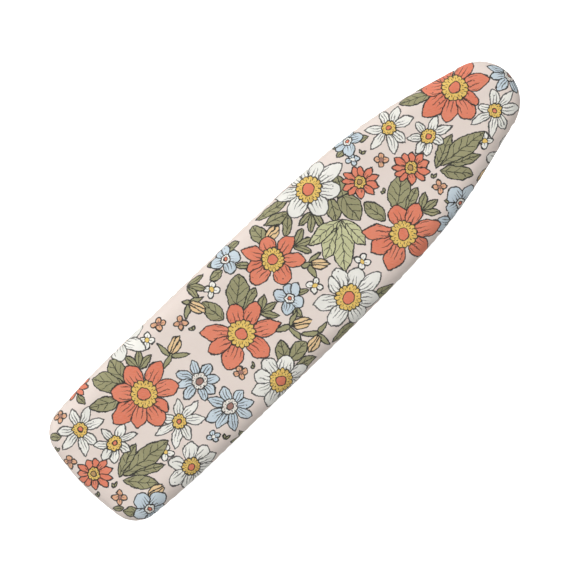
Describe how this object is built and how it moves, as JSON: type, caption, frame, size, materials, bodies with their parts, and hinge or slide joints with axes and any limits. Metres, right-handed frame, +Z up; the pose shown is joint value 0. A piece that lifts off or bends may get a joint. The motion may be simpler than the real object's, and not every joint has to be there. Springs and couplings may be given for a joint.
{
  "type": "sleeve ironing board",
  "caption": "Narrow padded board with a flowered cotton cover on swing-down rod legs and a looped base, for pressing sleeves.",
  "frame": {"origin": "on the table under the middle of the board", "axes": "+X towards the board's narrow nose, +Y to its left side, +Z up"},
  "size_m": [0.508, 0.127, 0.1423],
  "materials": {
    "printed_cotton": "printed cotton, matte",
    "elastic_webbing": "woven elastic",
    "felt_foam": "felt-faced foam",
    "galvanised_steel": "galvanised sheet",
    "zinc_plate": "bright zinc plate",
    "powder_coat": "off-white powder coat",
    "rubber": "matte rubber",
    "nylon": "natural nylon",
    "knob_plastic": "moulded, satin"
  },
  "bodies": {
    "base": {"base_loop": "powder_coat", "base_joint_sleeve": "powder_coat", "rear_crossbar": "powder_coat", "front_crossbar": "powder_coat", "rear_pivot_ear_left": "powder_coat", "rear_pivot_ear_right": "powder_coat", "front_pivot_ear_left": "powder_coat", "front_pivot_ear_right": "powder_coat", "rear_foot_left": "rubber", "rear_foot_right": "rubber", "front_foot_left": "rubber", "front_foot_right": "rubber", "clamp_washer": "zinc_plate"},
    "rear_leg": {"rear_leg": "powder_coat", "rear_pivot_washer_left": "nylon", "rear_pivot_washer_right": "nylon", "rear_stub_cap": "nylon"},
    "front_leg": {"front_leg": "powder_coat", "front_pivot_washer_left": "nylon", "front_pivot_washer_right": "nylon", "front_stub_cap_left": "nylon", "front_stub_cap_right": "nylon"},
    "board": {"cover": "printed_cotton", "hem_elastic": "elastic_webbing", "foam_pad": "felt_foam", "deck_pan": "galvanised_steel", "nose_stiffener": "galvanised_steel", "rear_hinge_plate": "zinc_plate", "front_hinge_plate": "zinc_plate", "rear_strap_left": "zinc_plate", "rear_strap_right": "zinc_plate", "front_strap_left": "zinc_plate", "front_strap_right": "zinc_plate", "strap_rivet_1": "zinc_plate", "strap_rivet_2": "zinc_plate", "strap_rivet_3": "zinc_plate", "strap_rivet_4": "zinc_plate", "strap_rivet_5": "zinc_plate", "strap_rivet_6": "zinc_plate", "strap_rivet_7": "zinc_plate", "strap_rivet_8": "zinc_plate", "stiffener_rivet_1": "zinc_plate", "stiffener_rivet_2": "zinc_plate", "stiffener_rivet_3": "zinc_plate", "stiffener_rivet_4": "zinc_plate"},
    "knob": {"lock_knob": "knob_plastic"}
  },
  "joints": [
    {"name": "rear_leg_fold", "type": "hinge", "parent": "base", "child": "rear_leg", "pos_m": [-0.15, 0, 0.023], "axis": [0, -1, 0], "range_deg": [0, 86]},
    {"name": "front_leg_fold", "type": "hinge", "parent": "base", "child": "front_leg", "pos_m": [-0.02, 0, 0.023], "axis": [0, -1, 0], "range_deg": [0, 86]},
    {"name": "board_level", "type": "hinge", "parent": "rear_leg", "child": "board", "pos_m": [-0.13229, 0, 0.12345], "axis": [0, -1, 0], "range_deg": [-86, 0]},
    {"name": "knob_turn", "type": "hinge", "parent": "rear_leg", "child": "knob", "pos_m": [-0.15, -0.055, 0.023], "axis": [0, -1, 0], "range_deg": [0, 270]}
  ],
  "couplings": [
    {"joint": "front_leg_fold", "follows": "rear_leg_fold", "ratio": 1},
    {"joint": "board_level", "follows": "rear_leg_fold", "ratio": -1}
  ]
}
